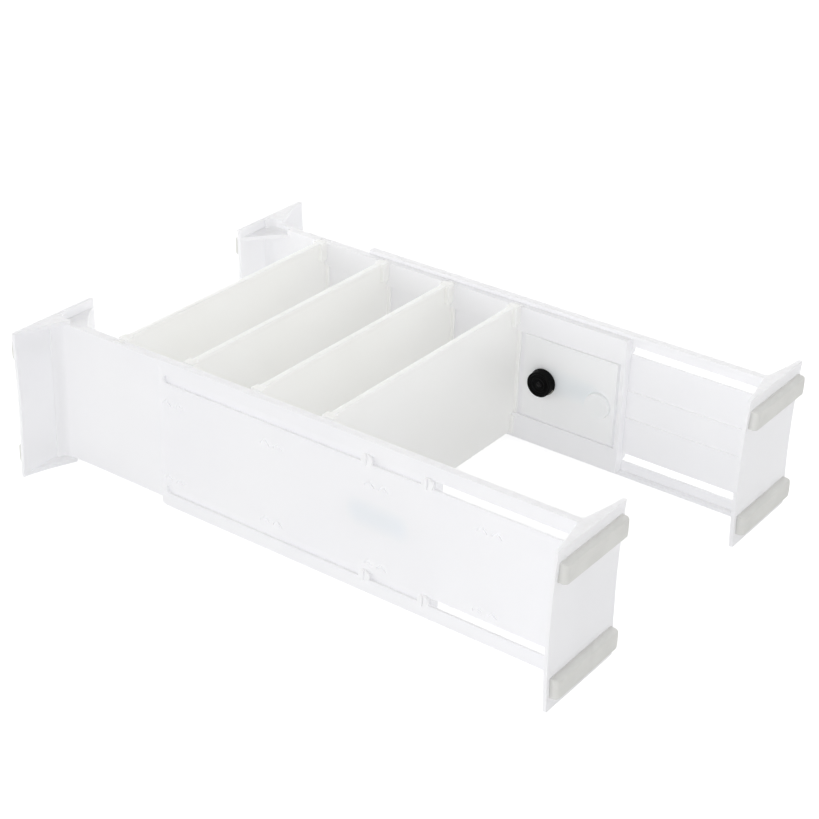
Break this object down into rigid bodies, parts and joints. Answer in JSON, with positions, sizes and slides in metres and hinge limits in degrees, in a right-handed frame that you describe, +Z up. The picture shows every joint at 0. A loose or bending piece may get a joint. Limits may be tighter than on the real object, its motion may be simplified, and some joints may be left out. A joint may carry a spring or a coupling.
{
  "type": "drawer organizer insert",
  "caption": "Expanding drawer organizer insert: long telescoping dividers with padded end plates and lock knobs, joined by lift-out cross dividers.",
  "frame": {"origin": "centre of the base, on the surface the insert stands on", "axes": "+X along the long dividers towards the slotted panels' ends, +Y from the front divider to the rear one, +Z up"},
  "size_m": [0.4014, 0.2764, 0.1],
  "materials": {
    "panel_plastic": "white, satin moulded",
    "divider_plastic": "white, smooth moulded",
    "cover_plastic": "white, fine matt moulded",
    "stud_plastic": "white, smooth moulded",
    "button_plastic": "white, smooth moulded",
    "knob_plastic": "black, satin",
    "grip_rubber": "light grey, soft",
    "brake_plastic": "grey, plain moulded",
    "screw_steel": "blackened",
    "spring_steel": "drawn wire"
  },
  "bodies": {
    "frame": {"front_sliding_panel": "panel_plastic", "front_guide_studs": "stud_plastic", "front_lock_cover": "cover_plastic", "front_button_spring": "spring_steel", "front_left_upper_grip": "grip_rubber", "front_left_lower_grip": "grip_rubber", "rear_sliding_panel": "panel_plastic", "rear_guide_studs": "stud_plastic", "rear_lock_cover": "cover_plastic", "rear_button_spring": "spring_steel", "rear_left_upper_grip": "grip_rubber", "rear_left_lower_grip": "grip_rubber"},
    "front_extension": {"front_slotted_panel": "panel_plastic", "front_right_upper_grip": "grip_rubber", "front_right_lower_grip": "grip_rubber"},
    "front_knob": {"front_lock_knob": "knob_plastic", "front_knob_screw": "screw_steel", "front_lock_spindle": "brake_plastic"},
    "front_upper_shoe": {"front_upper_brake_shoe": "brake_plastic"},
    "front_lower_shoe": {"front_lower_brake_shoe": "brake_plastic"},
    "front_button": {"front_release_button": "button_plastic"},
    "rear_extension": {"rear_slotted_panel": "panel_plastic", "rear_right_upper_grip": "grip_rubber", "rear_right_lower_grip": "grip_rubber"},
    "rear_knob": {"rear_lock_knob": "knob_plastic", "rear_knob_screw": "screw_steel", "rear_lock_spindle": "brake_plastic"},
    "rear_upper_shoe": {"rear_upper_brake_shoe": "brake_plastic"},
    "rear_lower_shoe": {"rear_lower_brake_shoe": "brake_plastic"},
    "rear_button": {"rear_release_button": "button_plastic"},
    "divider_1": {"cross_divider_1": "divider_plastic"},
    "divider_2": {"cross_divider_2": "divider_plastic"},
    "divider_3": {"cross_divider_3": "divider_plastic"},
    "divider_4": {"cross_divider_4": "divider_plastic"}
  },
  "joints": [
    {"name": "front_extend", "type": "slide", "parent": "frame", "child": "front_extension", "axis": [1, 0, 0], "range_m": [-0.074, 0.148]},
    {"name": "front_knob_turn", "type": "hinge", "parent": "frame", "child": "front_knob", "pos_m": [0.039, -0.0976, 0.05], "axis": [0, 1, 0], "range_deg": [0, 90]},
    {"name": "front_upper_shoe_slide", "type": "slide", "parent": "frame", "child": "front_upper_shoe", "axis": [0, 0, 1], "range_m": [0, 0.0008]},
    {"name": "front_lower_shoe_slide", "type": "slide", "parent": "frame", "child": "front_lower_shoe", "axis": [0, 0, -1], "range_m": [0, 0.0008]},
    {"name": "front_button_press", "type": "slide", "parent": "frame", "child": "front_button", "axis": [0, -1, 0], "range_m": [0, 0.0006], "stiffness_N_per_m": 300, "springref_m": -0.0007, "deforming": ["front_button_spring"]},
    {"name": "rear_extend", "type": "slide", "parent": "frame", "child": "rear_extension", "axis": [1, 0, 0], "range_m": [-0.074, 0.148]},
    {"name": "rear_knob_turn", "type": "hinge", "parent": "frame", "child": "rear_knob", "pos_m": [0.039, 0.0976, 0.05], "axis": [0, -1, 0], "range_deg": [0, 90]},
    {"name": "rear_upper_shoe_slide", "type": "slide", "parent": "frame", "child": "rear_upper_shoe", "axis": [0, 0, 1], "range_m": [0, 0.0008]},
    {"name": "rear_lower_shoe_slide", "type": "slide", "parent": "frame", "child": "rear_lower_shoe", "axis": [0, 0, -1], "range_m": [0, 0.0008]},
    {"name": "rear_button_press", "type": "slide", "parent": "frame", "child": "rear_button", "axis": [0, 1, 0], "range_m": [0, 0.0006], "stiffness_N_per_m": 300, "springref_m": -0.0007, "deforming": ["rear_button_spring"]},
    {"name": "divider_1_lift", "type": "slide", "parent": "frame", "child": "divider_1", "axis": [0, 0, 1], "range_m": [0, 0.095]},
    {"name": "divider_2_lift", "type": "slide", "parent": "frame", "child": "divider_2", "axis": [0, 0, 1], "range_m": [0, 0.095]},
    {"name": "divider_3_lift", "type": "slide", "parent": "frame", "child": "divider_3", "axis": [0, 0, 1], "range_m": [0, 0.095]},
    {"name": "divider_4_lift", "type": "slide", "parent": "frame", "child": "divider_4", "axis": [0, 0, 1], "range_m": [0, 0.095]}
  ],
  "couplings": [
    {"joint": "front_upper_shoe_slide", "follows": "front_knob_turn", "m_per_rad": 0.000509},
    {"joint": "front_lower_shoe_slide", "follows": "front_knob_turn", "m_per_rad": 0.000509},
    {"joint": "rear_upper_shoe_slide", "follows": "rear_knob_turn", "m_per_rad": 0.000509},
    {"joint": "rear_lower_shoe_slide", "follows": "rear_knob_turn", "m_per_rad": 0.000509}
  ]
}
